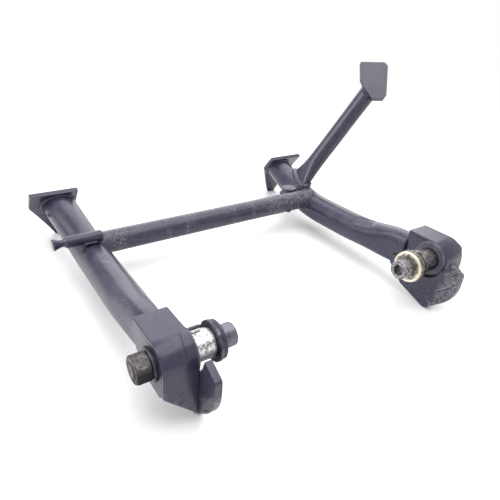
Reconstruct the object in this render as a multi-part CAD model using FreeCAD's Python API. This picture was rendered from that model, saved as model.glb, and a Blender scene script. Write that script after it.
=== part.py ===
"""Motorcycle centre stand, lying as it rests on a floor.

Frame of the stand: X runs along the pivot axis, +Y from the pivots to the feet, +Z up.
The origin is the middle of the pivot axis. Each piece is drawn square to the pivot blocks
and then leaned by rest_lean about the pivot axis, so that the stop lugs and the feet touch
one flat floor. The right side is at +X, and the left side is its mirror image.
Lengths are millimetres and angles are degrees.
"""
import FreeCAD
import Part
import math
import os

V = FreeCAD.Vector

# Whole stand
half_width = 160.0       # middle plane to the outboard face of a pivot block

# Pivot blocks, folded and welded from plate
block_width = 26.0       # along the pivot axis
sheet = 3.2              # plate thickness of the strap and both cheeks
nose_radius = 18.3       # outside of the strap round the pivot
top_length = 29.5        # straight top of the strap behind the axis
strap_drop_in = 44.0     # strap's lower edge below the axis, inboard side
strap_drop_out = 17.5    # the same at the outboard side
outer_cheek_drop = 20.5  # lowest edge of the outboard cheek below the axis
inner_cheek_drop = 40.0  # lowest edge of the inboard cheek below the axis
plate_gap = 0.05         # fit between welded plates
section_points = 16      # points on each cross-section of a bent tube

# Stop lug, the thick cam plate on the inboard face of each block
lug_thick = 5.4
lug_cutout = 18.2        # radius of the hollow that clears the dust seal
lug_reach = 38.7         # front edge ahead of the axis
lug_drop = 50.0          # lowest point below the axis
lug_tail = 40.0          # rear end behind the axis
lug_corner = 3.5         # rounding of its corners

# Pivot bearing
bearing_wall = 2.3
bush_wall = 1.6
sleeve_radius = 11.0
sleeve_bore = 6.3
running_gap = 0.05       # sleeve in bush, on the radius
seal_radius = 17.6
seal_thick = 1.8
seal_gap = 0.35          # seal lip to sleeve, on the radius

# Plain ring left on the right sleeve behind its washers
ring_radius = 13.4
ring_length = 8.0
ring_groove = 0.8

# M12 fastening through each sleeve
bolt_radius = 6.0
bolt_past_nut = 0.6
head_radius = 9.0
head_height = 12.0
socket_flats = 10.0
socket_depth = 6.0
nut_flats = 19.0
nut_height = 10.8
washer_radius = 12.0
washer_thick = 2.5
head_washer_radius = 15.5
head_washer_thick = 3.2
head_washer_count = 2
left_sleeve_out = 18.5   # how far the left sleeve stands out of its block, inboard
right_sleeve_out = 29.0  # the right one is longer

# Legs, tube pressed flat-sided where it meets the block
leg_radius = 15.9
leg_wall = 3.0
leg_press_width = 22.5
leg_press_height = 37.5
leg_press_square = 2.9   # 2 is an ellipse, more is flatter-sided
leg_points = [            # centre line: distance from the middle plane, back, up
    (half_width - 17.0, top_length - 6.0, -7.2),
    (half_width - 17.1, 36.0, -7.8),
    (half_width - 17.8, 66.0, -10.6),
    (half_width - 18.8, 105.0, -13.4),
    (half_width - 19.4, 150.0, -14.0),
    (half_width - 19.2, 186.0, -12.6),
    (half_width - 17.4, 216.0, -5.4),
    (half_width - 14.8, 243.0, 3.0),
    (half_width - 11.4, 280.0, 14.5),
]
leg_pressed_to = 42.0    # how far back the tube is fully pressed
leg_round_from = 88.0    # how far back it is round again
leg_end_width = 33.0     # pressed lower where it meets the foot
leg_end_height = 27.5
leg_end_from = 222.0     # how far back that starts
leg_end_at = 250.0       # how far back it is fully pressed
leg_stations = 13        # cross-sections along it

# Feet, tapered rocker plates across the leg ends
foot_thick = 5.0
foot_middle = half_width - 8.0
foot_width = 48.0
foot_sides = (            # side of the plate, its knee along the plate, its tip from the middle
    (-1, 24.0, 3.0),
    (1, 32.0, 15.0),
)
foot_length = 74.5       # top edge to tip, along the plate
foot_lean = 32.5         # slope of the plate from the upright
foot_curve = 200.0       # rocker radius
foot_top = (252.6, 24.8)  # top edge: back, up

# Cross tube between the legs
cross_radius = 11.2
cross_wall = 2.5
cross_back = 186.0
cross_up = -5.5
cope_gap = 0.05          # fit of a coped tube end

# Spring hook pin across the left leg
hook_radius = 5.5
hook_back = 176.5
hook_inner = half_width - 29.0       # inboard end
hook_shoulder = half_width + 4.0     # end of the thick part
hook_neck_radius = 3.4
hook_neck_end = half_width + 9.0
hook_end = half_width + 16.0
hook_lip_radius = 5.6
weld_sink = 0.6          # depth to which the welded pin beds into the leg

# Foot lever on the right leg
lever_radius = 10.2
lever_wall = 2.5
lever_base = (half_width - 16.5, 212.5, 4.0)
lever_top = (half_width + 49.0, 175.0, 130.0)
lever_base_width = 40.0
lever_base_thick = 12.0
lever_base_shift = 3.0   # the flat end reaches further towards the foot
pedal_facing = (-0.35, -0.60, 0.72)  # the way its tread looks
pedal_thick = 5.0
pedal_outline = [         # corners from the lever's end: towards +X along the tread, and up it
    (-14.3, 30.0),
    (-16.1, 5.2),
    (-12.2, -7.2),
    (-5.0, -21.2),
    (9.7, -20.4),
    (13.3, -15.3),
    (19.4, 27.0),
    (16.0, 31.5),
]

# Round boss on the right joint
boss_radius = 9.2
boss_height = 9.0
boss_foot = -1.5         # underside above the axis
boss_place = (half_width - 44.0, 200.0)

block_in = half_width - block_width          # inboard face of the block
foot_tip_back = foot_top[0] + foot_length * math.sin(math.radians(foot_lean))
foot_tip_up = foot_top[1] - foot_length * math.cos(math.radians(foot_lean))
lug_low_back = -9.0      # place of the lug's lowest corner
rest_lean = math.degrees(math.atan2(foot_tip_up + lug_drop, foot_tip_back - lug_low_back))
inside_radius = nose_radius - sheet
bearing_outer = inside_radius - plate_gap
bearing_inner = bearing_outer - bearing_wall
bush_inner = sleeve_radius + running_gap


def prism_x(points, x_from, x_to):
    """Closed outline in (back, up), with arcs given as (mid, end), made thick along X."""
    edges = []
    here = V(x_from, *points[0])
    start = here
    for item in points[1:]:
        if isinstance(item[0], tuple):
            mid = V(x_from, *item[0])
            end = V(x_from, *item[1])
            edges.append(Part.Arc(here, mid, end).toShape())
        else:
            end = V(x_from, *item)
            edges.append(Part.LineSegment(here, end).toShape())
        here = end
    if here.distanceToPoint(start) > 1e-6:
        edges.append(Part.LineSegment(here, start).toShape())
    return Part.Face(Part.Wire(edges)).extrude(V(x_to - x_from, 0, 0))


def on_circle(radius, degrees):
    """Point of a circle round the pivot axis: 0 is straight up, 90 is forward."""
    turn = math.radians(degrees)
    return (-radius * math.sin(turn), radius * math.cos(turn))


def rod_x(radius, x_from, x_to, back=0.0, up=0.0):
    return Part.makeCylinder(radius, x_to - x_from, V(x_from, back, up), V(1, 0, 0))


def ring_x(outer, inner, x_from, x_to):
    return rod_x(outer, x_from, x_to).cut(rod_x(inner, x_from - 1, x_to + 1))


def tube_section(centre, along, across, width, height, square=2.0):
    """Closed curve square to along, width lying on across. square is 2 for an ellipse and
    grows as the sides get flatter."""
    along = V(along).normalize()
    side = V(across)
    side = (side - along * side.dot(along)).normalize()
    rise = along.cross(side)
    spots = []
    for step in range(section_points):
        turn = 2 * math.pi * step / section_points
        c, q = math.cos(turn), math.sin(turn)
        w = math.copysign(abs(c) ** (2 / square), c) * width / 2
        h = math.copysign(abs(q) ** (2 / square), q) * height / 2
        spots.append(centre + side * w + rise * h)
    curve = Part.BSplineCurve()
    curve.interpolate(Points=spots, PeriodicFlag=True)
    return Part.Wire([curve.toShape()])


def save(name, shape):
    """Lay the piece down as the stand rests and write it."""
    solid = shape.removeSplitter()
    solid.rotate(V(0, 0, 0), V(1, 0, 0), -rest_lean)
    solid.exportStep("parts/" + name + ".step")


def mirrored(shape, side):
    return shape if side > 0 else shape.mirror(V(0, 0, 0), V(1, 0, 0))


def strap():
    """Plate folded over the pivot: flat top, round nose and a front apron cut on a slant."""
    out, inner = nose_radius, inside_radius
    low = -strap_drop_in
    body = prism_x([
        (top_length, out), (0, out),
        (on_circle(out, 45), (-out, 0)), (-out, low), (-inner, low), (-inner, 0),
        (on_circle(inner, 45), (0, inner)), (top_length, inner),
    ], block_in, half_width)
    slant = Part.makePolygon([
        V(block_in - 1, 0, low - 20), V(block_in, 0, low), V(half_width, 0, -strap_drop_out),
        V(half_width + 9, 0, -strap_drop_out + 6), V(half_width + 9, 0, low - 20),
        V(block_in - 1, 0, low - 20)])
    cutter = Part.Face(slant).extrude(V(0, -3 * out, 0))
    return body.cut(cutter)


def cheek(x_from, drop):
    """Side plate that closes the strap, welded just inside it."""
    reach = inside_radius - plate_gap
    plate = prism_x([
        (top_length, reach), (0, reach), (on_circle(reach, 45), (-reach, 0)),
        (-reach, -drop + 3), (-reach + 4, -drop), (4, -drop + 1), (top_length - 4, -6),
        (top_length, 4),
    ], x_from, x_from + sheet)
    return plate.cut(rod_x(bearing_outer + plate_gap, x_from - 1, x_from + sheet + 1))


def inner_cheek():
    """Inboard side plate. Its lower end backs the stop lug."""
    reach = inside_radius - plate_gap
    x_from = block_in
    plate = prism_x([
        (top_length, reach), (0, reach), (on_circle(reach, 45), (-reach, 0)),
        (-reach, -inner_cheek_drop), (-4, -inner_cheek_drop), (top_length, -16),
    ], x_from, x_from + sheet)
    return plate.cut(rod_x(bearing_outer + plate_gap, x_from - 1, x_from + sheet + 1))


def stop_lug():
    """Cam plate: horn ahead of the pivot, stop edge below it and a hollow round the seal."""
    front, low, tail = -lug_reach, -lug_drop, lug_tail
    plate = prism_x([
        (front + 14.0, 8.6), (front + 1.2, 1.6), (front + 0.3, -0.6), (front + 0.4, -10.0),
        ((front + 2.8, -22.5), (front + 9.0, -33.0)), (front + 18.5, low + 8.0),
        (lug_low_back - 4.0, low + 1.2), (lug_low_back, low), (lug_low_back + 7.0, low + 2.6),
        (22.0, -39.0), (tail, -22.5), (tail, -14.0), (lug_cutout - 1.0, -6.5),
        (0, -6.5), (0, 2.0), (-lug_cutout + 2, -4.0), (-lug_cutout - 2.0, -4.0),
        (-lug_cutout - 5.0, 5.0),
    ], block_in - lug_thick, block_in)
    hollow = rod_x(lug_cutout, block_in - lug_thick - 1, block_in + 1)
    return plate.cut(hollow).cut(leg_solid(-plate_gap))


def bearing_tube():
    return ring_x(bearing_outer, bearing_inner, block_in + 0.2, half_width)


def bush():
    """Plain bearing liner pressed into the bearing tube."""
    return ring_x(bearing_inner, bush_inner, block_in + 0.4, half_width - 0.4)


def dust_seal():
    """Lip seal against the inboard face, with a sloped outer rim."""
    ring = ring_x(seal_radius, sleeve_radius + seal_gap, block_in - seal_thick, block_in)
    rim = [e for e in ring.Edges if abs(e.BoundBox.XMin - (block_in - seal_thick)) < 1e-6
           and abs(e.BoundBox.XMax - (block_in - seal_thick)) < 1e-6
           and e.BoundBox.YLength > 2 * seal_radius - 1]
    return ring.makeChamfer(seal_thick * 0.55, rim)


def sleeve(out):
    """Steel spacer on which the stand turns."""
    x_from = block_in - out
    body = ring_x(sleeve_radius, sleeve_bore, x_from, half_width)
    ends = [e for e in body.Edges if abs(e.BoundBox.YLength - 2 * sleeve_radius) < 1e-3]
    return body.makeChamfer(0.6, ends)


def head_washer(out, index):
    x_to = block_in - out - index * head_washer_thick
    body = ring_x(head_washer_radius - 0.7 * index, bolt_radius + 0.5,
                  x_to - head_washer_thick, x_to)
    rims = [e for e in body.Edges if e.BoundBox.YLength > 2 * head_washer_radius - 3]
    return body.makeChamfer(0.5, rims)


def bolt(out):
    """Socket cap screw put in from the inboard side."""
    seat = block_in - out - head_washer_count * head_washer_thick
    head = rod_x(head_radius, seat - head_height, seat)
    rim = [e for e in head.Edges if abs(e.BoundBox.XMax - (seat - head_height)) < 1e-6]
    head = head.makeFillet(1.0, rim)
    corners = []
    for step in range(7):
        turn = math.radians(60 * step + 12)
        across = socket_flats / 2 / math.cos(math.radians(30))
        corners.append(V(seat - head_height, across * math.cos(turn), across * math.sin(turn)))
    socket = Part.Face(Part.makePolygon(corners)).extrude(V(socket_depth, 0, 0))
    end = half_width + washer_thick + nut_height + bolt_past_nut
    shank = rod_x(bolt_radius, seat - 0.5, end)
    tip = [e for e in shank.Edges if abs(e.BoundBox.XMin - end) < 1e-6]
    return head.cut(socket).fuse(shank.makeChamfer(1.2, tip))


def sleeve_ring():
    """Ring on the right sleeve, with a groove round its middle."""
    x_from = block_in - right_sleeve_out + 0.05
    inside = sleeve_radius + running_gap
    body = ring_x(ring_radius, inside, x_from, x_from + ring_length)
    middle = x_from + ring_length / 2
    groove = ring_x(ring_radius + 1, ring_radius - ring_groove, middle - 0.8, middle + 0.8)
    return body.cut(groove)


def nut():
    """Hex nut against the outboard washer, its corners turned off at both ends."""
    x_from = half_width + washer_thick
    across = nut_flats / 2 / math.cos(math.radians(30))
    corners = []
    for step in range(7):
        turn = math.radians(60 * step + 24)
        corners.append(V(x_from, across * math.cos(turn), across * math.sin(turn)))
    body = Part.Face(Part.makePolygon(corners)).extrude(V(nut_height, 0, 0))
    for face, x in ((1, x_from), (-1, x_from + nut_height)):
        cone = Part.makeCone(nut_flats / 2 - 0.3, nut_flats / 2 - 0.3 + 40, 40 * 0.58,
                             V(x, 0, 0), V(face, 0, 0))
        body = body.common(cone)
    return body.cut(rod_x(bolt_radius, x_from - 1, x_from + nut_height + 1))


def nut_washer():
    body = ring_x(washer_radius, bolt_radius + 0.5, half_width, half_width + washer_thick)
    rims = [e for e in body.Edges if e.BoundBox.YLength > 2 * washer_radius - 1]
    return body.makeChamfer(0.4, rims)


def leg_path():
    path = Part.BSplineCurve()
    path.interpolate([V(*p) for p in leg_points])
    return path


def leg_solid(shrink):
    """Solid leg: flat-sided oval at the block, then a round bent run to the foot."""
    path = leg_path()
    wires = []
    for step in range(leg_stations):
        share = step / (leg_stations - 1)
        here = path.FirstParameter + share * (path.LastParameter - path.FirstParameter)
        point = path.value(here)
        flat = (leg_round_from - point.y) / (leg_round_from - leg_pressed_to)
        flat = min(max(flat, 0.0), 1.0)
        width = 2 * leg_radius + (leg_press_width - 2 * leg_radius) * flat
        height = 2 * leg_radius + (leg_press_height - 2 * leg_radius) * flat
        square = 2.0 + (leg_press_square - 2.0) * flat
        low = min(max((point.y - leg_end_from) / (leg_end_at - leg_end_from), 0.0), 1.0)
        width += (leg_end_width - 2 * leg_radius) * low
        height += (leg_end_height - 2 * leg_radius) * low
        wires.append(tube_section(point, path.tangent(here)[0], V(1, 0, 0),
                                  width - 2 * shrink, height - 2 * shrink, square))
    return Part.makeLoft(wires, True, False)


def foot_profile(offset):
    """Rocker section swept across the foot. offset moves it towards the rear."""
    lean = math.radians(foot_lean)
    down = (math.sin(lean), -math.cos(lean))
    out = (math.cos(lean), math.sin(lean))
    sag = foot_length ** 2 / (8 * foot_curve)
    spots = []
    for share, bulge in ((0.0, 0.0), (0.5, sag), (1.0, 0.0)):
        back = foot_top[0] + down[0] * foot_length * share + out[0] * (bulge + offset)
        up = foot_top[1] + down[1] * foot_length * share + out[1] * (bulge + offset)
        spots.append((back, up))
    return spots


def foot(side):
    """Rocker plate, cut slantwise on its left to a narrow tip. Both feet are the same part."""
    near = foot_profile(0.0)
    far = foot_profile(foot_thick)
    middle = foot_middle * side
    half = foot_width / 2
    plate = prism_x([near[0], (near[1], near[2]), far[2], (far[1], far[0])],
                    middle - half, middle + half)
    lean = math.radians(foot_lean)

    def at(x, length, off):
        return V(x, foot_top[0] + math.sin(lean) * length + math.cos(lean) * off,
                 foot_top[1] - math.cos(lean) * length + math.sin(lean) * off)
    for end, knee, tip in foot_sides:
        edge = middle + end * half
        wedge = Part.makePolygon([
            at(edge, knee, -20), at(middle + tip, foot_length, -20),
            at(middle + tip, foot_length + 20, -20), at(edge + end * 30, foot_length + 20, -20),
            at(edge + end * 30, knee, -20), at(edge, knee, -20)])
        plate = plate.cut(Part.Face(wedge).extrude(at(0, 0, 40) - at(0, 0, 0)))
    return plate


def behind_foot():
    """Everything behind the front face of the foot plate, to trim the leg's end."""
    near = foot_profile(0.0)
    lean = math.radians(foot_lean)
    up = (near[0][0] - math.sin(lean) * 40, near[0][1] + math.cos(lean) * 40)
    low = (near[2][0] + math.sin(lean) * 40, near[2][1] - math.cos(lean) * 40)
    return prism_x([up, near[0], (near[1], near[2]), low, (low[0] + 90, low[1]),
                    (up[0] + 120, up[1])], foot_middle - 80, foot_middle + 80)


def leg(side):
    """One leg, hollow, trimmed to the block in front and to the foot behind."""
    tube = leg_solid(0.0).cut(leg_solid(leg_wall))
    front = Part.makeBox(200, 100, 200, V(half_width - 100, top_length - 100, -100))
    tube = tube.cut(front).cut(behind_foot())
    keep = [s for s in tube.Solids if s.Volume > 1000]
    return mirrored(max(keep, key=lambda s: s.Volume), side)


def leg_height(back):
    """Height of a leg's centre line at a place along it."""
    for a, b in zip(leg_points, leg_points[1:]):
        if a[1] <= back <= b[1]:
            share = (back - a[1]) / (b[1] - a[1])
            return a[2] + share * (b[2] - a[2])
    return leg_points[-1][2]


def leg_out(back):
    """Distance of a leg's centre line from the middle plane."""
    for a, b in zip(leg_points, leg_points[1:]):
        if a[1] <= back <= b[1]:
            share = (back - a[1]) / (b[1] - a[1])
            return a[0] + share * (b[0] - a[0])
    return leg_points[-1][0]


def cross_tube():
    """Tube between the legs, both ends coped to sit round them."""
    reach = leg_out(cross_back)
    tube = rod_x(cross_radius, -reach, reach, cross_back, cross_up)
    tube = tube.cut(rod_x(cross_radius - cross_wall, -reach - 1, reach + 1, cross_back, cross_up))
    for side in (1, -1):
        tube = tube.cut(mirrored(leg_solid(-cope_gap), side))
    tube = tube.cut(hook_pin_solid(hook_radius + cope_gap))
    return max(tube.Solids, key=lambda s: s.Volume)


def hook_pin_solid(radius):
    """Turned pin across the top of the left leg, before it is bedded into the leg."""
    up = leg_height(hook_back) + leg_radius + hook_radius - weld_sink
    profile = [
        V(-hook_inner, 0, 0), V(-hook_inner, 0, radius - 0.8),
        V(-hook_inner - 0.8, 0, radius), V(-hook_shoulder, 0, radius),
        V(-hook_shoulder - 2.5, 0, hook_neck_radius), V(-hook_neck_end, 0, hook_neck_radius),
        V(-hook_end + 1.0, 0, hook_lip_radius), V(-hook_end, 0, hook_lip_radius - 0.5),
        V(-hook_end, 0, 0), V(-hook_inner, 0, 0)]
    pin = Part.Face(Part.makePolygon(profile)).revolve(V(0, 0, 0), V(1, 0, 0), 360)
    pin.translate(V(0, hook_back, up))
    return pin


def hook_pin():
    """Pin welded on, with a neck and lip for a spring."""
    return hook_pin_solid(hook_radius).cut(mirrored(leg_solid(0.0), -1))


def lever():
    """Bent-over foot lever: tube whose lower end is pressed flat and laid on the leg."""
    base, top = V(*lever_base), V(*lever_top)
    along = (top - base).normalize()
    across = V(0.25, 1.0, 0)
    wires = []
    inner = []
    side = (across - along * across.dot(along)).normalize()
    stations = ((-0.06, 1.0), (0.04, 0.9), (0.12, 0.5), (0.22, 0.12), (0.34, 0.0),
                (0.5, 0.0), (0.65, 0.0), (0.8, 0.0), (0.95, 0.0), (1.1, 0.0))
    for share, flat in stations:
        point = base + (top - base) * share + side * (lever_base_shift * flat)
        width = 2 * lever_radius + (lever_base_width - 2 * lever_radius) * flat
        thick = 2 * lever_radius + (lever_base_thick - 2 * lever_radius) * flat
        wires.append(tube_section(point, along, across, width, thick, 2.0 + flat))
        inner.append(tube_section(point, along, across, width - 2 * lever_wall,
                                  thick - 2 * lever_wall, 2.0 + flat))
    tube = Part.makeLoft(wires, True, False).cut(Part.makeLoft(inner, True, False))
    tube = tube.cut(leg_solid(0.0)).cut(pedal_side())
    return max(tube.Solids, key=lambda s: s.Volume)


def pedal_axes():
    """Directions along the tread, up the tread and square out of it."""
    facing = V(*pedal_facing).normalize()
    along = V(0, 0, 1).cross(facing).normalize() * -1
    along = along if along.x > 0 else along * -1
    up = facing.cross(along)
    up = up if up.z > 0 else up * -1
    return along, up, facing


def pedal_side():
    """Space in front of the pedal's back face, which ends the lever's tube on a slant."""
    along, up, facing = pedal_axes()
    middle = V(*lever_top)
    corners = [middle + along * a + up * b for a, b in
               ((-60, -60), (60, -60), (60, 60), (-60, 60), (-60, -60))]
    return Part.Face(Part.makePolygon(corners)).extrude(facing * 60)


def pedal():
    """Flat tread plate on the lever's end, one lower corner cut away."""
    along, up, facing = pedal_axes()
    middle = V(*lever_top)
    corners = [middle + along * a + up * b for a, b in pedal_outline]
    return Part.Face(Part.makePolygon(corners + corners[:1])).extrude(facing * pedal_thick)


def boss():
    """Short round boss standing on the right joint."""
    body = Part.makeCylinder(boss_radius, boss_height, V(boss_place[0], boss_place[1], boss_foot))
    top = boss_foot + boss_height
    rim = [e for e in body.Edges if abs(e.BoundBox.ZMin - top) < 1e-6]
    body = body.makeFillet(1.2, rim).cut(cross_tube()).cut(leg_solid(0.0))
    return max(body.Solids, key=lambda s: s.Volume)


os.makedirs("parts", exist_ok=True)

for name, side, out in (("left", -1, left_sleeve_out), ("right", 1, right_sleeve_out)):
    save(name + "_leg", leg(side))
    save(name + "_foot", foot(side))
    save(name + "_strap", mirrored(strap(), side))
    save(name + "_outer_cheek", mirrored(cheek(half_width - sheet, outer_cheek_drop), side))
    save(name + "_inner_cheek", mirrored(inner_cheek(), side))
    save(name + "_stop_lug", mirrored(stop_lug(), side))
    save(name + "_bearing_tube", mirrored(bearing_tube(), side))
    save(name + "_bush", mirrored(bush(), side))
    save(name + "_dust_seal", mirrored(dust_seal(), side))
    save(name + "_sleeve", mirrored(sleeve(out), side))
    for index in range(head_washer_count):
        save(name + "_head_washer_" + str(index + 1), mirrored(head_washer(out, index), side))
    save(name + "_bolt", mirrored(bolt(out), side))
    save(name + "_nut", mirrored(nut(), side))
    save(name + "_nut_washer", mirrored(nut_washer(), side))

save("cross_tube", cross_tube())
save("spring_hook_pin", hook_pin())
save("foot_lever", lever())
save("lever_pedal", pedal())
save("joint_boss", boss())
save("right_sleeve_ring", sleeve_ring())
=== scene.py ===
"""Motorcycle centre stand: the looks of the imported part.

Weld beads and other added pieces are grids of points round a path,
    P(i, j) = c(i) + r(i) * (cos(a_j) * u(i) + sin(a_j) * w(i)),
where c is the path, u and w are square to it and to each other, a_j is the angle round it
and r is the radius with its frozen ripples. What goes through place() is given along the
stand's own axes, x along the pivot, back towards the feet and up, in millimetres, and is
turned by the lean at which the stand rests on the floor. All other places and sizes are in
metres, as the stand rests, unless a function says otherwise.
"""

import math

import bmesh
import bpy
import numpy as np
from mathutils import Matrix, Vector
from mathutils.bvhtree import BVHTree


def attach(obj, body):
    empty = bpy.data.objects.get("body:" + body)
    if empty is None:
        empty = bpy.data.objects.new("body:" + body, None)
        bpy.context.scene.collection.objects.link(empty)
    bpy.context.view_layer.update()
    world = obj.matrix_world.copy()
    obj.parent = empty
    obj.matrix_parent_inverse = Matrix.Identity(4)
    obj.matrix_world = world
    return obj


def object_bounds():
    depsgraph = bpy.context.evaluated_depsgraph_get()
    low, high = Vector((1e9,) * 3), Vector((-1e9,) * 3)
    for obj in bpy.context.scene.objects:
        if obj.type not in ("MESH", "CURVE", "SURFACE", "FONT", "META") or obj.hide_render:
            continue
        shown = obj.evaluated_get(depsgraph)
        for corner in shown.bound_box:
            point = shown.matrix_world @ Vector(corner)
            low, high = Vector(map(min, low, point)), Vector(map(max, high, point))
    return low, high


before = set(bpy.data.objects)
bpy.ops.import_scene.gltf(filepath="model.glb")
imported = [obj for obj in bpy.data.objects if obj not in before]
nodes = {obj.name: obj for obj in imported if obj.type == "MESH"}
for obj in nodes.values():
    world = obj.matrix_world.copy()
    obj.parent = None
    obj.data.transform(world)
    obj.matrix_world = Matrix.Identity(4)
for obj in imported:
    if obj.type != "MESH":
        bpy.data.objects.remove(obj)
cad_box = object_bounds()


# Legs. Bent steel tubes pressed flat-sided where they are welded to the pivot blocks, dipped
# in black paint. Stones have chipped their undersides, and spatter lies near the blocks.
def fill_socket(tree, socket, value):
    """Link the socket to another node's output, or else write the number or colour in it."""
    if isinstance(value, bpy.types.NodeSocket):
        tree.links.new(value, socket)
    else:
        socket.default_value = value


def add_node(tree, kind, values=None, **settings):
    """A shader node. Each value is a number, a colour or another node's output."""
    made = tree.nodes.new(kind)
    for key, value in settings.items():
        setattr(made, key, value)
    for key, value in (values or {}).items():
        fill_socket(tree, made.inputs[key], value)
    return made


def fade(tree, value, low, high):
    """0 up to low, 1 from high on, and 3t^2 - 2t^3 between. low may be above high."""
    return add_node(tree, "ShaderNodeMapRange", {"Value": value, "From Min": low,
                    "From Max": high}, interpolation_type="SMOOTHSTEP").outputs["Result"]


def noise(tree, where, scale, detail=3.0, rough=0.55):
    """Cloudy noise from 0 to 1 at where * scale, in layers twice as fine each time. detail is
    how many layers there are, and rough is how strong each is next to the one before."""
    return add_node(tree, "ShaderNodeTexNoise", {"Vector": where, "Scale": scale,
                    "Detail": detail, "Roughness": rough}).outputs["Fac"]


def calc(tree, operation, a, b=0.0, clamp=False):
    """One step of arithmetic on a and b, held between 0 and 1 where clamp is set."""
    return add_node(tree, "ShaderNodeMath", {0: a, 1: b}, operation=operation,
                    use_clamp=clamp).outputs[0]


def total(tree, *values):
    """Sum of values, held between 0 and 1."""
    result = values[0]
    for value in values[1:]:
        result = calc(tree, "ADD", result, value, clamp=True)
    return result


def times(tree, a, b):
    """a times b."""
    return calc(tree, "MULTIPLY", a, b)


def largest(tree, values):
    """The largest of the values."""
    result = values[0]
    for value in values[1:]:
        result = calc(tree, "MAXIMUM", result, value)
    return result


def mix(tree, share, a, b):
    """Colour a where share is 0 and b where it is 1: a + share * (b - a)."""
    made = add_node(tree, "ShaderNodeMix", data_type="RGBA")
    for wanted, value in (("Factor_Float", share), ("A_Color", a), ("B_Color", b)):
        fill_socket(tree, next(s for s in made.inputs if s.identifier == wanted), value)
    return next(s for s in made.outputs if s.identifier == "Result_Color")


FULL_SHARE = 0.35               # share of a mark's reach within which it is at its full value


def near_spot(tree, where, spot, reach):
    """1 at the spot, fading to 0 at the distance reach."""
    away = add_node(tree, "ShaderNodeVectorMath", {0: where, 1: spot},
                    operation="DISTANCE").outputs["Value"]
    return fade(tree, away, reach, reach * FULL_SHARE)


def near_line(tree, where, a, b, reach):
    """1 on the line from a to b, fading to 0 at the distance reach. The nearest place on the
    line is a + t * (b - a), with t = (where - a) . (b - a) / |b - a|^2 held from 0 to 1."""
    run = Vector(b) - Vector(a)
    off = add_node(tree, "ShaderNodeVectorMath", {0: where, 1: a},
                   operation="SUBTRACT").outputs[0]
    dot = add_node(tree, "ShaderNodeVectorMath", {0: off, 1: run / run.length_squared},
                   operation="DOT_PRODUCT").outputs["Value"]
    share = calc(tree, "ADD", dot, 0.0, clamp=True)
    step = add_node(tree, "ShaderNodeVectorMath", {0: run, "Scale": share},
                    operation="SCALE").outputs[0]
    return near_spot(tree, off, step, reach)


def start_material(name):
    """A new material, its tree, its object coordinates and their three parts."""
    made = bpy.data.materials.new(name)
    made.use_nodes = True
    tree = made.node_tree
    tree.nodes.clear()
    where = add_node(tree, "ShaderNodeTexCoord").outputs["Object"]
    parts = add_node(tree, "ShaderNodeSeparateXYZ", {"Vector": where}).outputs
    return made, tree, where, parts


# Dusty coat and grey grime: real dirt, and where laid on heavily also painted highlight.
CLEAN_COAT, DUST_AND_SHEEN_COAT = (0.018, 0.0175, 0.045, 1), (0.075, 0.074, 0.1, 1)
GRIME_AND_SHEEN_GREY = (0.17, 0.16, 0.17, 1)
DULL_STEEL, SCRAPED_STEEL = (0.07, 0.066, 0.08, 1), (0.34, 0.33, 0.35, 1)
PIT_BLACK = (0.006, 0.006, 0.012, 1)


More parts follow.
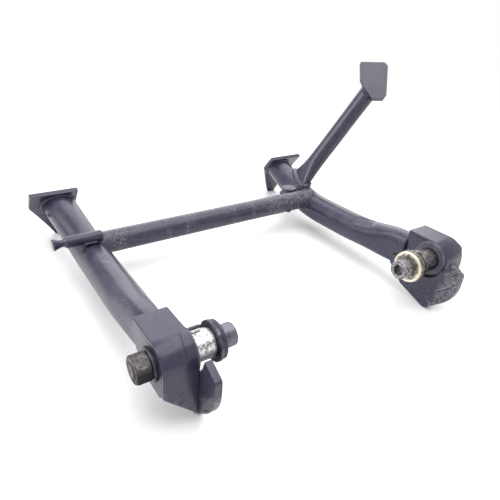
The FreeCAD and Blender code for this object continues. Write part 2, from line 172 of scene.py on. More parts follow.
def paint_group():
    """Satin black paint with dusting, dried grime, worn patches of bare steel and dark marks;
    the lighter dusting and grime are partly painted highlight.

    The dusting is clouds and specks, times a share that grows with Rise, which is how far the
    surface faces up: dusty tops are real, and their lighter grey is also painted highlight from
    above, as is the extra dusting asked for round the right joint, the lever, the boss and the
    welds.
    The grey grime lies over the dusty coat, and is also painted highlight where it is heavy, on
    the boss and at the right joint. Wear shows steel through both, and Mark is black over all.
    The height is grain, scrapes and cakes, less the marks and the dips.
    """
    group = bpy.data.node_groups.new("worn_black_paint", "ShaderNodeTree")
    sockets = {}
    for way, kind, names in (
            ("INPUT", "Vector", ["Vector"]),
            ("INPUT", "Float", ["Rise", "Wear", "Grime_and_sheen", "Mark", "Dip", "Dust_and_sheen"]),
            ("OUTPUT", "Color", ["Colour"]),
            ("OUTPUT", "Float", ["Roughness", "Metallic", "Height"])):
        for name in names:
            sockets[name] = group.interface.new_socket(name, in_out=way,
                                                       socket_type="NodeSocket" + kind)
    sockets["Dust_and_sheen"].default_value = 1.0
    given = group.nodes.new("NodeGroupInput").outputs
    where, wear = given["Vector"], given["Wear"]

    clouds = fade(group, noise(group, where, 45, 6, 0.6), 0.42, 0.8)
    specks = fade(group, noise(group, where, 900, 2), 0.66, 0.76)
    lying = total(group, times(group, clouds, 0.6), times(group, specks, 0.5))
    # Dusting grows on faces that look up; the lighter tops are also painted highlight from
    # above.
    settled_and_lit_share = total(group, 0.25, times(group, fade(group, given["Rise"], 0.0, 0.9), 0.75))
    dust_and_sheen = times(group, lying, times(group, settled_and_lit_share, given["Dust_and_sheen"]))
    coat = mix(group, dust_and_sheen, CLEAN_COAT, DUST_AND_SHEEN_COAT)

    cakes = fade(group, noise(group, where, 320, 6, 0.7), 0.35, 0.7)
    caked_and_sheen = times(group, cakes, given["Grime_and_sheen"])
    coat = mix(group, caked_and_sheen, coat, GRIME_AND_SHEEN_GREY)

    scrapes = noise(group, where, 620, 5, 0.7)
    bare = mix(group, fade(group, scrapes, 0.38, 0.66), DULL_STEEL, SCRAPED_STEEL)
    colour = mix(group, given["Mark"], mix(group, wear, coat, bare), PIT_BLACK)

    height = times(group, noise(group, where, 260, 2), 0.12)
    for operation, layer, depth in (("ADD", times(group, scrapes, wear), 1.4),
                                    ("ADD", caked_and_sheen, 0.8),
                                    ("SUBTRACT", given["Mark"], 1.6),
                                    ("SUBTRACT", given["Dip"], 6.0)):
        height = calc(group, operation, height, times(group, layer, depth))
    rough = total(group, 0.25, times(group, dust_and_sheen, 0.16), times(group, wear, 0.2),
                  times(group, given["Grime_and_sheen"], 0.2))
    add_node(group, "NodeGroupOutput", {"Colour": colour, "Roughness": rough, "Height": height,
             "Metallic": times(group, wear, 0.7)})
    return group


worn_paint = paint_group()
PAINT_BUMP = 0.0002             # height in metres of a paint layer whose value is 1
PAINT_SHINE = 0.44              # specular level of the coat, a little under plain plastic's 0.5


def painted(name, masks):
    """Paint over which masks spread wear, grime, marks and dips, each 0 to 1, and a dusting,
    which is 1 where it is left out and may be more. Heavy grime and dusting are also painted
    highlight."""
    made, tree, where, parts = start_material(name)
    facing = add_node(tree, "ShaderNodeTexCoord").outputs["Normal"]
    rise = add_node(tree, "ShaderNodeSeparateXYZ", {"Vector": facing}).outputs["Z"]
    given = {"Vector": where, "Rise": rise, **masks(tree, where, parts)}
    coat = add_node(tree, "ShaderNodeGroup", given, node_tree=worn_paint).outputs
    bump = add_node(tree, "ShaderNodeBump", {"Height": coat["Height"], "Strength": 1.0,
                    "Distance": PAINT_BUMP}).outputs[0]
    body = add_node(tree, "ShaderNodeBsdfPrincipled", {
        "Base Color": coat["Colour"], "Roughness": coat["Roughness"],
        "Metallic": coat["Metallic"], "Normal": bump, "Specular IOR Level": PAINT_SHINE})
    add_node(tree, "ShaderNodeOutputMaterial", {"Surface": body.outputs[0]})
    return made


def dress(material, *names):
    """Give this material to these carried-over pieces."""
    for name in names:
        nodes[name].data.materials.clear()
        nodes[name].data.materials.append(material)


def leg_masks(tree, where, parts):
    """Chips are the peaks of noise, about three times as strong low down. Spatter, pits and
    dents lie at their own places, and a heavier dusting round the right joint is also painted
    highlight."""
    low = fade(tree, parts["Z"], -0.012, -0.032)
    chips = fade(tree, noise(tree, where, 120, 8, 0.75), 0.68, 0.74)
    spatter = largest(tree, [near_line(tree, where, a, b, 0.011) for a, b in (
        ((-0.153, 0.078, -0.003), (-0.141, 0.05, 0.005)),
        ((0.14, 0.05, 0.004), (0.13, 0.036, 0.0)),
        ((-0.1424, 0.1368, -0.0036), (-0.1394, 0.1559, -0.0044)))])
    flecks = times(tree, spatter, fade(tree, noise(tree, where, 700, 4, 0.7), 0.56, 0.64))
    pits = largest(tree, [near_spot(tree, where, spot, size) for spot, size in (
        ((0.1493, 0.2315, 0.0049), 0.0022), ((0.1396, 0.2138, 0.0016), 0.0026),
        ((0.1435, 0.236, 0.006), 0.0016), ((-0.1333, 0.1767, -0.0061), 0.0024))])
    dents = largest(tree, [near_line(tree, where, a, b, 0.009) for a, b in (
        ((0.1341, 0.097, -0.0028), (0.1364, 0.0816, 0.0001)),
        ((-0.139, 0.15, 0.003), (-0.139, 0.14, 0.002)))])
    # Heavier dusting round the right joint, also a painted highlight.
    joint = near_line(tree, where, (0.13, 0.185, 0.0), (0.145, 0.205, 0.0), 0.045)
    return {"Wear": total(tree, times(tree, chips, total(tree, 0.3, low)),
                          times(tree, flecks, 0.7)),
            "Grime_and_sheen": 0.12, "Mark": pits, "Dip": dents,
            "Dust_and_sheen": calc(tree, "ADD", 1.0, times(tree, joint, 1.5))}


dress(painted("leg_paint", leg_masks), "left_leg", "right_leg")


# Feet. Curved plates of 5 mm steel across the ends of the legs, on which the stand rolls. They
# are sheared, welded on all round and painted with the legs. Their edges are rubbed.
def foot_masks(tree, where, parts):
    """Chips are the peaks of noise, most of them low down. The dusting is cut to 0.4, which
    darkens the feet as painted shade.
    """
    chips = fade(tree, noise(tree, where, 150, 7, 0.72), 0.66, 0.73)
    low = fade(tree, parts["Z"], -0.03, -0.047)
    return {"Wear": times(tree, chips, total(tree, 0.35, low)), "Grime_and_sheen": 0.08, "Dust_and_sheen": 0.4}


def round_edges(size, *names):
    """Rounds of this size in millimetres on plate and hexagon edges sharper than 35 degrees.
    The loose triangles are joined first, by the modifier alone."""
    for name in names:
        join = nodes[name].modifiers.new("join", "WELD")
        join.merge_threshold = 0.00001
        bevel = nodes[name].modifiers.new("edges", "BEVEL")
        bevel.width = size * 0.001
        bevel.segments = 3
        bevel.limit_method = "ANGLE"
        bevel.angle_limit = math.radians(35)
        bevel.harden_normals = True


dress(painted("foot_paint", foot_masks), "left_foot", "right_foot")
round_edges(0.6, "left_foot", "right_foot")


# Pivot blocks. A strap of 3.2 mm sheet folded over the pivot and a cheek welded in each side.
# The paint has cracked along a seam on the left nose, and grit has scored the lower aprons.
APRON_FOOT, APRON_SLOPE = 0.134, 1.1    # where the slanted lower edge starts, and its rise


def strap_masks(tree, where, parts):
    """Rubbing is where the height over the slanted lower edge, z - slope * (|x| - start), with
    noise in it, is small. Cracks are lines that a coarse noise breaks up."""
    out = calc(tree, "ABSOLUTE", parts["X"])
    rise = times(tree, calc(tree, "SUBTRACT", out, APRON_FOOT), APRON_SLOPE)
    edge_up = calc(tree, "SUBTRACT", parts["Z"], rise)
    patch = calc(tree, "SUBTRACT", noise(tree, where, 170, 6, 0.7), 0.5)
    rub = calc(tree, "ADD", edge_up, times(tree, patch, 0.03))
    low = fade(tree, rub, -0.038, -0.046)
    chips = fade(tree, noise(tree, where, 150, 7, 0.72), 0.73, 0.77)
    crack = largest(tree, [near_line(tree, where, a, b, 0.0007) for a, b in (
        ((-0.1402, -0.0010, 0.0183), (-0.1408, -0.0058, 0.0174)),
        ((-0.1408, -0.0058, 0.0174), (-0.1414, -0.0106, 0.0149)),
        ((-0.1414, -0.0106, 0.0149), (-0.1419, -0.0152, 0.0102)),
        ((-0.1492, -0.0190, -0.0183), (-0.1460, -0.0190, -0.0164)),
        ((-0.1512, -0.0192, -0.0262), (-0.1460, -0.0193, -0.0243)),
        ((-0.1445, -0.0190, -0.0300), (-0.1415, -0.0190, -0.0285)))])
    broken = fade(tree, noise(tree, where, 420, 3), 0.36, 0.46)
    fleck = near_line(tree, where, (0.1372, -0.0172, 0.0063), (0.1372, -0.0173, 0.0062), 0.0011)
    return {"Wear": largest(tree, [times(tree, low, 0.22), chips, fleck]),
            "Grime_and_sheen": total(tree, 0.08, times(tree, low, 0.2)),
            "Mark": times(tree, crack, broken), "Dust_and_sheen": 0.25}


dress(painted("strap_paint", strap_masks), "left_strap", "right_strap")
round_edges(0.7, "left_strap", "right_strap")


def plain_masks(tree, where, parts):
    """A few chips, at the peaks of noise."""
    return {"Wear": fade(tree, noise(tree, where, 150, 7, 0.72), 0.74, 0.78), "Grime_and_sheen": 0.12}


plain_paint = painted("black_paint", plain_masks)
dress(plain_paint, "left_outer_cheek", "right_outer_cheek", "left_inner_cheek",
      "right_inner_cheek")
round_edges(0.4, "left_outer_cheek", "right_outer_cheek")


# Stop lugs. Cam plates welded to the inboard cheeks, which strike the frame's stop and carry
# the load. Their front lobes are scraped to bare steel, in streaks along the edge.
STREAKS_ALONG, STREAKS_ACROSS, STREAKS_DEEP = 130, 620, 300.0   # streaks in a metre each way


def lug_masks(limit, slope, along_edge):
    """Masks for one lug. It is bare where slope[0] * back + slope[1] * up, with noise in it,
    is below limit, and its streaks are noise drawn out along the edge's direction."""
    def masks(tree, where, parts):
        def combine(a, b):
            """a times the place towards the back plus b times the height."""
            return calc(tree, "ADD", times(tree, parts["Y"], a), times(tree, parts["Z"], b))
        grain = add_node(tree, "ShaderNodeCombineXYZ", {
            "X": combine(along_edge[0] * STREAKS_ALONG, along_edge[1] * STREAKS_ALONG),
            "Y": combine(-along_edge[1] * STREAKS_ACROSS, along_edge[0] * STREAKS_ACROSS),
            "Z": times(tree, parts["X"], STREAKS_DEEP)}).outputs[0]
        streak = noise(tree, grain, 1.0, 5, 0.75)
        patch = noise(tree, where, 130, 5, 0.65)
        uneven = times(tree, calc(tree, "SUBTRACT", patch, 0.5), 0.02)
        edge = calc(tree, "ADD", combine(*slope), uneven)
        bare = fade(tree, edge, limit, limit - 0.004)
        mottled = fade(tree, calc(tree, "ADD", streak, times(tree, patch, 0.4)), 0.5, 0.86)
        gouge = fade(tree, noise(tree, grain, 0.55, 3, 0.6), 0.6, 0.66)
        return {"Wear": times(tree, bare, total(tree, 0.15, times(tree, mottled, 0.65))),
                "Grime_and_sheen": total(tree, 0.2, times(tree, bare, 0.3)),
                "Mark": times(tree, times(tree, gouge, bare), 0.7)}
    return masks


dress(painted("left_lug_paint", lug_masks(-0.041, (0.85, 1.0), (-0.8, 0.6))), "left_stop_lug")
dress(painted("right_lug_paint", lug_masks(-0.0235, (1.0, 0.2), (-0.6, 0.8))),
      "right_stop_lug")
round_edges(0.7, "left_stop_lug", "right_stop_lug")


# Sleeves. Turned steel spacers on which the stand swings. The left one is rubbed bright, its
# light colour partly a painted highlight, and the right one has gone brown-grey all over. Both
# are darker on their lower sides, which is painted shade.
# Near black, laid on the outboard end of the left screw.
SCREW_END_BLACK = (0.03, 0.027, 0.033, 1)
METAL_BUMP = 0.0001             # height in metres of the metal's grain where its value is 1


def metal(name, clean, stained, spot_scale, spots, rough, metallic=1.0, painted_shade_below=None, rim=None,
          end=None):
    """Bare or plated metal: clean colour with stains where noise is high. It is darker below
    the given heights, which is painted shade; clean again past the radii rim from the pivot
    axis, which is a painted highlight; and black past the places end along the axis. Each pair
    says where the change begins and where it is full."""
    made, tree, where, parts = start_material(name)
    stain = fade(tree, noise(tree, where, spot_scale, 6, 0.7), *spots)
    if painted_shade_below:
        stain = largest(tree, [stain, fade(tree, parts["Z"], *painted_shade_below)])
    colour = mix(tree, stain, clean, stained)
    if painted_shade_below:
        # Painted shade: darker still on the lower side.
        painted_shade_colour = tuple(0.45 * c for c in stained[:3]) + (1,)
        colour = mix(tree, times(tree, fade(tree, parts["Z"], *painted_shade_below), 0.85), colour, painted_shade_colour)
    # Painted highlight: clean again round the outer rim.
    if rim:
        squares = calc(tree, "ADD", times(tree, parts["Y"], parts["Y"]),
                       times(tree, parts["Z"], parts["Z"]))
        uneven = times(tree, calc(tree, "SUBTRACT", noise(tree, where, 260, 5), 0.5), 0.006)
        radius = calc(tree, "ADD", calc(tree, "SQRT", squares), uneven)
        colour = mix(tree, fade(tree, radius, *rim), colour, clean)
    if end:
        colour = mix(tree, fade(tree, parts["X"], *end), colour, SCREW_END_BLACK)
    bump = add_node(tree, "ShaderNodeBump", {"Height": noise(tree, where, 450, 4),
                    "Strength": 1.0, "Distance": METAL_BUMP}).outputs[0]
    body = add_node(tree, "ShaderNodeBsdfPrincipled", {
        "Base Color": colour, "Metallic": metallic, "Normal": bump,
        "Roughness": total(tree, rough, times(tree, stain, 0.22))})
    add_node(tree, "ShaderNodeOutputMaterial", {"Surface": body.outputs[0]})
    return made


# Left sleeve: rubbed bright steel, its light clean colour partly a painted highlight.
dress(metal("left_sleeve_steel", clean=(0.86, 0.83, 0.85, 1), stained=(0.18, 0.17, 0.19, 1),
            spot_scale=380, spots=(0.38, 0.6), rough=0.26, painted_shade_below=(0.0055, -0.002)),
      "left_sleeve")
dress(metal("right_sleeve_steel", clean=(0.3, 0.28, 0.29, 1), stained=(0.07, 0.062, 0.07, 1),
            spot_scale=260, spots=(0.36, 0.56), rough=0.3, painted_shade_below=(0.004, -0.006)),
      "right_sleeve")
dress(metal("ring_steel", clean=(0.3, 0.27, 0.25, 1), stained=(0.08, 0.07, 0.075, 1),
            spot_scale=240, spots=(0.38, 0.6), rough=0.3),
      "right_sleeve_ring")


# Bearing tubes, bushes and dust seals. Steel tubes pressed through the blocks, lined with
# black plastic, with a black rubber lip seal on each inboard face, grey with dust.
dress(metal("dark_steel", clean=(0.05, 0.048, 0.066, 1), stained=(0.15, 0.14, 0.16, 1),
            spot_scale=190, spots=(0.5, 0.7), rough=0.34, metallic=0.6),
      "left_bearing_tube", "right_bearing_tube")
dress(metal("seal_rubber", clean=(0.06, 0.056, 0.08, 1), stained=(0.12, 0.115, 0.14, 1),
            spot_scale=160, spots=(0.4, 0.7), rough=0.42, metallic=0.0),
      "left_bush", "right_bush", "left_dust_seal", "right_dust_seal")


# Screws, washers and nuts. M12 socket cap screws go in from the inboard side and take hex nuts
# outboard. The left washers are blackened and the right ones are yellow zinc rubbed pale.
# The black washers and the pale right one carry a painted highlight round their rims.
dress(metal("left_screw_steel", clean=(0.13, 0.125, 0.15, 1), stained=(0.07, 0.066, 0.085, 1),
            spot_scale=200, spots=(0.45, 0.7), rough=0.36, metallic=0.8, end=(-0.165, -0.17)),
      "left_bolt")
dress(metal("right_screw_steel", clean=(0.3, 0.29, 0.31, 1), stained=(0.08, 0.072, 0.085, 1),
            spot_scale=420, spots=(0.42, 0.62), rough=0.34, metallic=0.85),
      "right_bolt")
# Black washers, with a painted highlight round the rim.
dress(metal("black_washer", clean=(0.24, 0.23, 0.25, 1), stained=(0.045, 0.042, 0.062, 1),
            spot_scale=260, spots=(0.28, 0.42), rough=0.32, metallic=0.6, rim=(0.0152, 0.017)),
      "left_head_washer_1", "left_head_washer_2")
# Pale zinc washer, with a painted highlight round the rim.
dress(metal("rubbed_zinc_rim_glint", clean=(0.72, 0.67, 0.55, 1), stained=(0.16, 0.14, 0.13, 1),
            spot_scale=330, spots=(0.3, 0.5), rough=0.26, metallic=0.95, rim=(0.0114, 0.0136)),
      "right_head_washer_2")
dress(metal("stained_zinc", clean=(0.3, 0.27, 0.22, 1), stained=(0.09, 0.08, 0.08, 1),
            spot_scale=330, spots=(0.38, 0.6), rough=0.3, metallic=0.95),
      "right_head_washer_1")
# Nuts, with painted shade on their lower sides.
dress(metal("nut_steel", clean=(0.085, 0.077, 0.073, 1), stained=(0.045, 0.04, 0.043, 1),
            spot_scale=420, spots=(0.38, 0.62), rough=0.32, metallic=0.9, painted_shade_below=(0.007, 0.001)),
      "left_nut", "right_nut")
dress(metal("nut_washer_steel", clean=(0.05, 0.048, 0.066, 1), stained=(0.13, 0.12, 0.14, 1),
            spot_scale=190, spots=(0.5, 0.7), rough=0.36, metallic=0.6),
      "left_nut_washer", "right_nut_washer")
round_edges(0.35, "left_nut", "right_nut")


# Cross tube. Plain tube coped to both legs. It is scuffed in a few places along its front, and
# rough with rust and lifted paint where it meets the right leg. Towards that leg its heavier
# grime and dusting are also painted highlight.
SCUFFS = ((-0.112, 0.012), (-0.062, 0.0035), (-0.04, 0.003), (0.0195, 0.0045), (0.045, 0.005),
          (0.073, 0.013))       # where along the tube, and how far to each side


def cross_masks(tree, where, parts):
    """Scuffs are the peaks of a fine noise that is raised near each scuffed place. Grey grime
    and dusting grow towards the right joint, where they are also painted highlight, and the
    seam and a pit are black."""
    scuffed = []
    for along, reach in SCUFFS:
        away = calc(tree, "ABSOLUTE", calc(tree, "SUBTRACT", parts["X"], along))
        scuffed.append(fade(tree, away, reach * 1.6, reach * 0.3))
    fine = noise(tree, where, 420, 6, 0.75)
    raised = calc(tree, "ADD", fine, times(tree, largest(tree, scuffed), 0.13))
    # Towards the right joint: more grime and dusting, partly painted highlight.
    joint = fade(tree, parts["X"], 0.03, 0.09)
    left_end = near_line(tree, where, (-0.136, 0.177, -0.004), (-0.119, 0.175, -0.01), 0.013)
    right_end = near_line(tree, where, (0.102, 0.176, -0.006), (0.128, 0.178, -0.004), 0.014)
    ends = largest(tree, [left_end, right_end])
    seam = near_line(tree, where, (0.119, 0.1775, -0.0052), (0.1225, 0.1775, -0.026), 0.0011)
    pit = near_spot(tree, where, (-0.1327, 0.1769, -0.0058), 0.0018)
    return {"Wear": times(tree, fade(tree, raised, 0.63, 0.72), 0.65),
            "Mark": largest(tree, [seam, pit]),
            "Grime_and_sheen": total(tree, 0.15, times(tree, joint, 0.4), times(tree, ends, 0.5)),
            "Dust_and_sheen": calc(tree, "ADD", 0.9, times(tree, joint, 1.4))}


dress(painted("cross_tube_paint", cross_masks), "cross_tube")


# Spring hook pin and boss. A turned steel pin lies across the left leg, with a neck for the
# spring, and a short round boss stands on the right joint. Both are welded and painted over.
def boss_masks(tree, where, parts):
    """Even grime and a heavy dusting, which also paint a highlight, and one black spot where
    the boss meets the leg.
    """
    spot = near_line(tree, where, (0.1139, 0.1939, -0.0002), (0.1128, 0.1949, -0.0002), 0.0026)
    return {"Wear": 0.0, "Grime_and_sheen": 0.55, "Mark": spot, "Dust_and_sheen": 2.5}


dress(plain_paint, "spring_hook_pin")
dress(painted("boss_paint", boss_masks), "joint_boss")
round_edges(1.5, "joint_boss")


# Foot lever and pedal. A tube whose lower end is pressed flat and welded on top of the right
# leg, with a flat tread plate welded across its top. Both are painted and dusty; the lever's
# heavier dusting is also painted highlight.
def lever_masks(tree, where, parts):
    """Chips are the peaks of noise. Two pits and one long dent lie at their own places."""
    pits = largest(tree, [near_spot(tree, where, spot, 0.0024) for spot in (
        (0.1373, 0.2004, 0.0002), (0.1429, 0.1957, 0.0025))])
    dents = near_line(tree, where, (0.17, 0.192, 0.045), (0.18, 0.186, 0.066), 0.006)
    chips = fade(tree, noise(tree, where, 150, 7, 0.72), 0.72, 0.77)
    return {"Wear": chips, "Grime_and_sheen": 0.15, "Mark": pits, "Dip": times(tree, dents, 0.5),
            "Dust_and_sheen": 1.8}


dress(painted("lever_paint", lever_masks), "foot_lever")
dress(plain_paint, "lever_pedal")
round_edges(0.6, "lever_pedal")


# Leg welds. Every joint of the stand is arc-welded by hand: here beads of filler 3 to 5 mm
# wide run round each leg where it meets its block, its foot and the cross tube. They are
# rippled, painted with the rest, and have collected grime and a heavy dusting, which are also
# painted highlight.
def weld_masks(tree, where, parts):
    """Worn along the peaks of a fine noise, and grimy and dusty all over, which also paints a
    highlight.
    """
    worn = fade(tree, noise(tree, where, 300, 6, 0.7), 0.58, 0.75)
    return {"Wear": times(tree, worn, 0.5), "Grime_and_sheen": 0.3, "Dust_and_sheen": 1.5}


weld_paint = painted("weld_paint", weld_masks)

RING_STEP = 0.0004              # from one ring of points to the next
FEWEST_RINGS = 24
RING_POINTS = 14                # points round the bead
RIPPLE_STEP = 0.0017            # from one ripple to the next
DRIFT_DRAWS = 14                # draws from which the ripples' drift along a bead is made
ASLANT = (0.31, 0.17, 0.93)     # a direction along which no bead runs
TINY = 1e-12


def bead(name, points, radius, closed=True, seed=1, ripples=0.16, material=weld_paint):
    """Bead of this radius in millimetres along points, by the formula at the top.

    With s the length along the path and d the drift, which wanders between -1 and 1, r is
    radius * (1 - ripples + ripples * |sin(pi * s / step + d)| + 0.6 * ripples * d). An open
    bead's ends are rounded: r is also times sqrt(e * (2 - e)) while e, the distance from the
    end over 1.2 radii, is below 1. Under the root it is held at 0.03 or more, so that the
    last ring is a small flat end and not a point.
    """
    path = np.array([tuple(p) for p in points])
    if closed:
        path = np.vstack([path, path[:1]])
    pieces = np.linalg.norm(np.diff(path, axis=0), axis=1)
    length = np.concatenate([[0], np.cumsum(pieces)])
    whole = length[-1]
    count = max(FEWEST_RINGS, int(whole / RING_STEP))
    s = np.linspace(0, whole, count, endpoint=not closed)
    centre = np.stack([np.interp(s, length, path[:, k]) for k in range(3)], 1)
    if closed:
        along = np.roll(centre, -1, 0) - np.roll(centre, 1, 0)
    else:
        along = np.gradient(centre, axis=0)
    along /= np.linalg.norm(along, axis=1, keepdims=True) + TINY
    u = np.cross(along, ASLANT)
    u /= np.linalg.norm(u, axis=1, keepdims=True) + TINY
    w = np.cross(along, u)

    draws = np.random.default_rng(seed).uniform(-1, 1, DRIFT_DRAWS)
    draws[-1] = draws[0]
    drift = np.interp(s, np.linspace(0, whole, DRIFT_DRAWS), draws)
    wave = np.abs(np.sin(np.pi * s / RIPPLE_STEP + drift))
    size = radius * 0.001 * (1 - ripples + ripples * wave + 0.6 * ripples * drift)
    if not closed:
        e = np.minimum(s, whole - s) / (radius * 0.0012)
        size = size * np.sqrt(np.clip(e * (2 - e), 0.03, 1) * (e < 1) + (e >= 1))
    turn = np.linspace(0, 2 * np.pi, RING_POINTS, endpoint=False)[:, None]
    grid = centre[:, None] + size[:, None, None] * (np.cos(turn) * u[:, None]
                                                    + np.sin(turn) * w[:, None])

    ring = RING_POINTS * np.arange(count if closed else count - 1)[:, None]
    after = (ring + RING_POINTS) % (RING_POINTS * count)
    j = np.arange(RING_POINTS)
    k = (j + 1) % RING_POINTS
    faces = np.stack([ring + j, ring + k, after + k, after + j], -1).reshape(-1, 4).tolist()
    if not closed:
        faces += [j.tolist(), (RING_POINTS * (count - 1) + j[::-1]).tolist()]
    mesh = bpy.data.meshes.new(name)
    mesh.from_pydata(grid.reshape(-1, 3).tolist(), [], faces)
    shell = bmesh.new()
    shell.from_mesh(mesh)
    bmesh.ops.recalc_face_normals(shell, faces=shell.faces)
    shell.to_mesh(mesh)
    shell.free()
    mesh.shade_smooth()
    mesh.materials.append(material)
    made = bpy.data.objects.new(name, mesh)
    bpy.context.collection.objects.link(made)
    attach(made, "stand")


REST = Matrix.Rotation(math.radians(-2.27206), 3, "X")      # the lean at which it rests


def place(x, back, up):
    """A point in metres, as the stand rests, from millimetres along its own axes."""
    return REST @ Vector((x, back, up)) * 0.001


def faces_of(name):
    """A search tree over this carried-over piece, at which rays are cast."""
    mesh = nodes[name].data
    return BVHTree.FromPolygons([v.co.copy() for v in mesh.vertices],
                                [list(p.vertices) for p in mesh.polygons])


def cast_ring(name, starts, way):
    """Where rays from starts along way meet this piece, missing ones left out."""
    target = faces_of(name)
    hits = [target.ray_cast(Vector(start), way)[0] for start in starts]
    return [hit for hit in hits if hit is not None]


def oval(middle, side, rise, half_wide, half_tall, count=60, power=1.0):
    """Points middle + side * half_wide * c + rise * half_tall * s, where c and s are the
    cosine and sine of the turn, taken to this power with their signs kept. A power below 1
    gives flatter sides."""
    turn = np.linspace(0, 2 * np.pi, count, endpoint=False)[:, None]
    c, s = (np.sign(v) * np.abs(v) ** power for v in (np.cos(turn), np.sin(turn)))
    middle, side, rise = np.array(middle), np.array(side), np.array(rise)
    return middle + side * (half_wide * c) + rise * (half_tall * s)


def circle(middle, way, radius):
    """Points round middle, square to way, at this radius in metres."""
    side = way.cross(Vector((0.2, 0.1, 1))).normalized()
    return oval(middle, side, way.cross(side), radius, radius, 48)


for label, sign in (("left", -1), ("right", 1)):
    # Round the flat-sided end of the leg, on the rear face of the block.
    outline = oval(place(sign * 143, 30.2, -7.6), REST @ Vector((sign, 0, 0)),
                   REST @ Vector((0, 0, 1)), 0.0114, 0.0188, power=0.69)
    bead(label + "_block_weld", outline, 1.7, seed=3 + sign)
    # Round the low, pressed end of the leg, where its own line meets the foot.
    way = (place(sign * 148.6, 276, 13.3) - place(sign * 145.2, 243, 3)).normalized()
    side = Vector((1, 0, 0)) - way * way.x
    starts = oval(place(sign * 144.4, 236, 0.9), side, way.cross(side.normalized()),
                  0.0163, 0.0136)
    bead(label + "_foot_weld", cast_ring(label + "_foot", starts, way), 2.2, seed=5 + sign)
    # Round the end of the cross tube, where it meets the inner side of the leg.
    way = Vector((sign, 0, 0))
    starts = circle(place(sign * 100, 186, -5.5), way, 0.0114)
    bead(label + "_cross_weld", cast_ring(label + "_leg", starts, way), 1.8, seed=8 + sign)


# Lever welds. A full, smooth fillet of filler 9 mm wide runs round the lever's flattened base
# on the right leg, and a thin bead joins its top to the back of the tread plate.
lever_low, lever_high = place(143.5, 212.5, 4.0), place(209, 175, 130)
way = (lever_low - lever_high).normalized()
across = REST @ Vector((0.25, 1, 0))
across = (across - way * across.dot(way)).normalized()
starts = oval(lever_low - way * 0.022 + across * 0.003, across, way.cross(across),
              0.0192, 0.0066)
bead("lever_base_weld", cast_ring("right_leg", starts, way), 4.4, seed=21, ripples=0.04)
starts = circle(lever_high + way * 0.03, way, 0.0102)
bead("pedal_weld", cast_ring("lever_pedal", starts, -way), 1.5, seed=22)


# Hook pin and boss welds. Short runs of filler hold the pin on both sides and the boss round
# its rim, one drip hangs under the pin, and a smooth run fills the gap from boss to lever.
# Lumps of spatter stick to the steel beside the welds.
for name, back, up, seed in (("hook_weld_front", 171.6, 4.6, 31),
                             ("hook_weld_back", 181.6, 5.2, 32)):
    bead(name, [place(-x, back, up) for x in range(137, 150, 2)], 1.5, False, seed)
bead("hook_weld_drip", [place(-150.8, 171.8, 1.6), place(-151.6, 171.4, -3.4)], 1.7, False, 34)

BOSS_X, BOSS_BACK, BOSS_FOOT = 116, 200, 0.4    # middle of the boss's foot
BOSS_RIM = 9.2                                  # radius of the run round it
rim = [place(BOSS_X + BOSS_RIM * math.cos(a), BOSS_BACK + BOSS_RIM * math.sin(a), BOSS_FOOT)
       for a in np.linspace(math.radians(140), math.radians(400), 30)]
bead("boss_weld", rim, 2.9, False, 33, 0.05)

FILLER_SUNK = Vector((0, 0, 0.0026))            # from the leg's top to the run's middle
starts = [(x, y, 0.05) for x, y in ((0.1215, 0.1965), (0.127, 0.201), (0.133, 0.204),
                                    (0.138, 0.202), (0.1415, 0.197))]
filler = [hit - FILLER_SUNK for hit in cast_ring("right_leg", starts, Vector((0, 0, -1)))]
bead("joint_filler", filler, 4.4, False, 35, 0.03)

for number, (a, b, size) in enumerate((
        ((0.0960, 0.1768, -0.0190), (0.1035, 0.1772, -0.0196), 2.6),
        ((-0.1634, 0.2620, -0.0030), (-0.1628, 0.2570, -0.0060), 2.1),
        ((-0.1618, 0.2480, -0.0020), (-0.1614, 0.2440, -0.0045), 1.9),
        ((0.1345, 0.2045, 0.0012), (0.1392, 0.2082, 0.0022), 2.0),
        ((0.1300, 0.1980, -0.0030), (0.1330, 0.1940, -0.0040), 2.2),
        ((0.1462, 0.1945, 0.0010), (0.1500, 0.1990, 0.0002), 1.7))):
    bead("weld_lump_" + str(number + 1), [a, b], size, False, 40 + number, 0.3)


# Dark stub. A short dark rod, 3 mm thick, which stands out of the left block just behind its
# sleeve and runs along the pivot. The rest of it is hidden in the block.
bead("left_dark_stub", [place(-x, 5.2, 12.5) for x in (132.0, 126, 120.5)], 1.5, False, 60,
     0.02, nodes["left_bearing_tube"].data.materials[0])


# Floor. A pale, matt sheet under the stand, which keeps its shadow. Away from the stand it
# fades into the white of the room, so that no edge shows.
FLOOR_SIZE, FLOOR_GAP = 3.4, 0.0001
FADE_START, FADE_END = 0.6, 1.3         # distances from the floor's middle
bpy.ops.mesh.primitive_plane_add(size=FLOOR_SIZE, location=(0, 0, cad_box[0][2] - FLOOR_GAP))
floor = bpy.context.object
floor.name = "floor"
ground, tree, where, parts = start_material("pale_floor")
body = add_node(tree, "ShaderNodeBsdfPrincipled", {"Base Color": (0.87, 0.87, 0.87, 1),
                                                   "Roughness": 0.9})
glow = add_node(tree, "ShaderNodeEmission", {"Color": (1, 1, 1, 1), "Strength": 1.0})
away = add_node(tree, "ShaderNodeVectorMath", {0: where}, operation="LENGTH").outputs["Value"]
surface = add_node(tree, "ShaderNodeMixShader", {
    0: fade(tree, away, FADE_START, FADE_END), 1: body.outputs[0], 2: glow.outputs[0]})
add_node(tree, "ShaderNodeOutputMaterial", {"Surface": surface.outputs[0]})
floor.data.materials.append(ground)


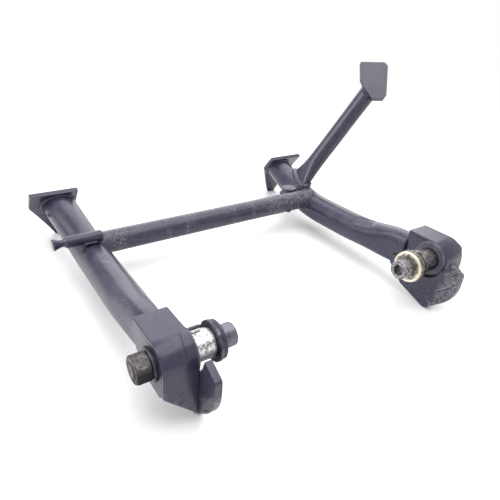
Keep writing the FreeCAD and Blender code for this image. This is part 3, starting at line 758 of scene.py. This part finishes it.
# Room and lamps. The room sheds white light from behind the stand and from overhead, and less
# from the side of the camera, and is plain white to look at and in gloss. Three soft lamps
# stand at the back, overhead and at the left.
BRIGHT_WAY = (0.52, 0.76, 0.38)         # from the stand towards the bright side of the room
DIM_LEVEL = 0.28                        # light of the dim side, next to 1 at the bright side
world = bpy.data.worlds.new("studio")
bpy.context.scene.world = world
world.use_nodes = True
tree = world.node_tree
toward = add_node(tree, "ShaderNodeVectorMath", {
    0: add_node(tree, "ShaderNodeTexCoord").outputs["Generated"], 1: BRIGHT_WAY},
    operation="DOT_PRODUCT").outputs["Value"]
bright = fade(tree, toward, -0.45, 0.25)
level = calc(tree, "ADD", times(tree, bright, 1 - DIM_LEVEL), DIM_LEVEL)
rays = add_node(tree, "ShaderNodeLightPath").outputs
strength = largest(tree, [level, rays["Is Camera Ray"], rays["Is Glossy Ray"],
                          rays["Is Transmission Ray"]])
tree.links.new(strength, tree.nodes["Background"].inputs["Strength"])
tree.nodes["Background"].inputs["Color"].default_value = (1, 1, 1, 1)


def soft_light(name, where, aim, size, power):
    """A rectangular lamp at where that points at aim, of this size and power in watts."""
    lamp = bpy.data.lights.new(name, "AREA")
    lamp.shape = "RECTANGLE"
    lamp.size, lamp.size_y = size
    lamp.energy = power
    made = bpy.data.objects.new(name, lamp)
    bpy.context.collection.objects.link(made)
    made.location = where
    made.rotation_euler = (Vector(aim) - Vector(where)).to_track_quat("-Z", "Y").to_euler()


soft_light("back_softbox", (1.0, 1.8, 1.35), (0, 0.1, 0), (2.8, 2.6), 46)
soft_light("overhead_softbox", (0.2, -0.1, 1.4), (0.1, 0.05, 0), (1.5, 1.2), 17)
soft_light("left_softbox", (-1.6, 0.6, 1.0), (0.1, 0.15, 0), (1.2, 1.0), 22)


# Camera. It stands in front of the left pivot, looks down over the stand and was solved from
# the picture's own points.
camera_data = bpy.data.cameras.new("camera")
camera_data.lens = 33.446
camera_data.sensor_width = 36
camera_data.clip_start = 0.01
camera = bpy.data.objects.new("camera", camera_data)
bpy.context.collection.objects.link(camera)
camera.location = (-0.249004, -0.210792, 0.222527)
camera.rotation_euler = [math.radians(a) for a in (59.59156, -4.94005, -34.41282)]
bpy.context.scene.camera = camera
bpy.context.scene.view_settings.view_transform = "Standard"
